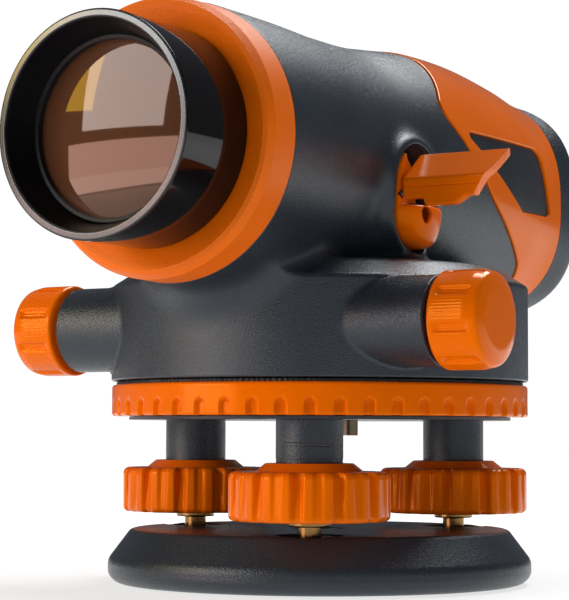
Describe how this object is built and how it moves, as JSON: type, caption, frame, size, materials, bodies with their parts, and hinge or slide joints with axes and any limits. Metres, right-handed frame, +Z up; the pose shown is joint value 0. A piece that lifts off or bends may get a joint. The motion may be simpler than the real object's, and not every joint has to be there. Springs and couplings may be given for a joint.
{
  "type": "automatic level",
  "caption": "Self-levelling surveyor's telescope with a horizontal circle, tangent screw and folding vial mirror on a levelling base.",
  "frame": {"origin": "centre of the base plate's underside, on the vertical axis", "axes": "+Z up along the vertical axis, -Y the way the objective looks, +X the side with the circular vial"},
  "size_m": [0.138, 0.2167, 0.1454],
  "materials": {
    "grey_coat": "satin powder coat",
    "spring_steel": "satin",
    "screw_steel": "zinc plated",
    "bronze_screw": "dark bronze",
    "brass": "machined",
    "bronze": "machined",
    "ground_steel": "ground",
    "aluminium": "machined",
    "magnet": "nickel plated",
    "orange_plastic": "satin gloss",
    "orange_textured": "fine texture",
    "gloss_black": "gloss",
    "black_anodised": "anodised",
    "black_plastic": "matte",
    "label_plate": "fine texture",
    "rubber": "matte",
    "coated_glass": "coated",
    "clear_glass": "polished",
    "vial_glass": "spirit filled",
    "mirror": "silvered"
  },
  "bodies": {
    "base": {"base_plate": "grey_coat", "spring_plate": "spring_steel", "spring_plate_screws": "screw_steel"},
    "tribrach": {"tribrach": "grey_coat", "foot_bushes": "brass", "vertical_axis": "ground_steel", "axis_screws": "bronze_screw", "axis_nut": "brass"},
    "circle": {"circle_ring": "orange_plastic", "circle_scale": "black_anodised"},
    "wheel": {"worm_wheel": "bronze", "clutch_spring": "spring_steel"},
    "alidade": {"housing": "grey_coat", "rear_cover": "orange_plastic", "label_panels": "label_plate", "end_cap": "grey_coat", "cap_screws": "screw_steel", "bearing_plate": "aluminium", "bearing_screws": "screw_steel", "shaft_bushes": "brass", "front_ring": "orange_textured", "objective_barrel": "gloss_black", "objective_retainer": "black_anodised", "objective_crown": "coated_glass", "objective_flint": "coated_glass", "focus_guide": "black_anodised", "compensator_frame": "aluminium", "damper_magnets": "magnet", "roof_prism": "clear_glass", "reticle_holder": "brass", "reticle": "clear_glass", "eyepiece_tube": "black_anodised", "mirror_bracket": "orange_plastic", "circular_vial": "vial_glass", "mirror_pin": "ground_steel"},
    "tangent": {"tangent_shaft": "ground_steel", "tangent_knob_left": "orange_plastic", "tangent_knob_right": "orange_plastic"},
    "focus_drive": {"focus_pinion": "brass", "focus_knob": "orange_plastic"},
    "focus_slide": {"focus_cell": "aluminium", "focus_lens": "clear_glass"},
    "dioptre": {"dioptre_ring": "black_plastic", "eyecup": "rubber"},
    "eyepiece": {"eyepiece_cell": "aluminium", "eyepiece_lenses": "clear_glass"},
    "mirror": {"mirror_flap": "orange_plastic", "mirror_glass": "mirror"},
    "pendulum": {"pendulum": "aluminium", "pendulum_prism": "clear_glass", "suspension_wires": "spring_steel"},
    "ball_1": {"foot_ball_1": "brass"},
    "foot_1": {"foot_screw_1": "brass", "foot_knob_1": "orange_plastic"},
    "ball_2": {"foot_ball_2": "brass"},
    "foot_2": {"foot_screw_2": "brass", "foot_knob_2": "orange_plastic"},
    "ball_3": {"foot_ball_3": "brass"},
    "foot_3": {"foot_screw_3": "brass", "foot_knob_3": "orange_plastic"}
  },
  "joints": [
    {"name": "tribrach_tilt", "type": "hinge", "parent": "base", "child": "tribrach", "pos_m": [0, 0, 0.006], "axis": [-0.891, -0.454, 0], "range_deg": [-3, 3]},
    {"name": "circle_turn", "type": "hinge", "parent": "tribrach", "child": "circle", "pos_m": [0, 0, 0.047], "axis": [0, 0, 1], "continuous": true},
    {"name": "azimuth_coarse", "type": "hinge", "parent": "tribrach", "child": "wheel", "pos_m": [0, 0, 0.066], "axis": [0, 0, 1], "continuous": true},
    {"name": "azimuth_fine", "type": "hinge", "parent": "wheel", "child": "alidade", "pos_m": [0, 0, 0.066], "axis": [0, 0, 1], "continuous": true},
    {"name": "tangent_turn", "type": "hinge", "parent": "alidade", "child": "tangent", "pos_m": [0, -0.0336, 0.0661], "axis": [1, 0, 0], "continuous": true},
    {"name": "focus_turn", "type": "hinge", "parent": "alidade", "child": "focus_drive", "pos_m": [-0.03, 0.012, 0.1086], "axis": [1, 0, 0], "range_deg": [-170, 170]},
    {"name": "focus_travel", "type": "slide", "parent": "alidade", "child": "focus_slide", "axis": [0, 1, 0], "range_m": [-0.0091, 0.0091]},
    {"name": "dioptre_turn", "type": "hinge", "parent": "alidade", "child": "dioptre", "pos_m": [0, 0.1, 0.1086], "axis": [0, 1, 0], "range_deg": [-153, 153]},
    {"name": "eyepiece_travel", "type": "slide", "parent": "alidade", "child": "eyepiece", "axis": [0, 1, 0], "range_m": [-0.00125, 0.00125]},
    {"name": "mirror_fold", "type": "hinge", "parent": "alidade", "child": "mirror", "pos_m": [0.05, -0.0207, 0.099], "axis": [1, 0, 0], "range_deg": [-42, 20]},
    {"name": "pendulum_swing", "type": "hinge", "parent": "alidade", "child": "pendulum", "pos_m": [0, 0.046, 0.126], "axis": [1, 0, 0], "range_deg": [-0.25, 0.25]},
    {"name": "foot_travel_1", "type": "slide", "parent": "tribrach", "child": "ball_1", "axis": [0, 0, 1], "range_m": [-0.00219, 0.00219]},
    {"name": "foot_turn_1", "type": "hinge", "parent": "ball_1", "child": "foot_1", "pos_m": [0.01861, -0.03653, 0.02], "axis": [0, 0, 1], "range_deg": [-1051.1, 1051.1]},
    {"name": "foot_travel_2", "type": "slide", "parent": "tribrach", "child": "ball_2", "axis": [0, 0, 1], "range_m": [-0.0011, 0.0011]},
    {"name": "foot_turn_2", "type": "hinge", "parent": "ball_2", "child": "foot_2", "pos_m": [0.02233, 0.03438, 0.02], "axis": [0, 0, 1], "range_deg": [-525.5, 525.5]},
    {"name": "foot_travel_3", "type": "slide", "parent": "tribrach", "child": "ball_3", "axis": [0, 0, 1], "range_m": [-0.0011, 0.0011]},
    {"name": "foot_turn_3", "type": "hinge", "parent": "ball_3", "child": "foot_3", "pos_m": [-0.04094, 0.00215, 0.02], "axis": [0, 0, 1], "range_deg": [-525.5, 525.5]}
  ],
  "couplings": [
    {"joint": "tangent_turn", "follows": "azimuth_fine", "ratio": 96},
    {"joint": "focus_travel", "follows": "focus_turn", "m_per_rad": 0.003},
    {"joint": "dioptre_turn", "follows": "eyepiece_travel", "rad_per_m": 2094.4},
    {"joint": "foot_travel_1", "follows": "tribrach_tilt", "m_per_rad": -0.041},
    {"joint": "foot_turn_1", "follows": "tribrach_tilt", "ratio": -343.48},
    {"joint": "foot_travel_2", "follows": "tribrach_tilt", "m_per_rad": 0.0205},
    {"joint": "foot_turn_2", "follows": "tribrach_tilt", "ratio": 171.74},
    {"joint": "foot_travel_3", "follows": "tribrach_tilt", "m_per_rad": 0.0205},
    {"joint": "foot_turn_3", "follows": "tribrach_tilt", "ratio": 171.74}
  ]
}
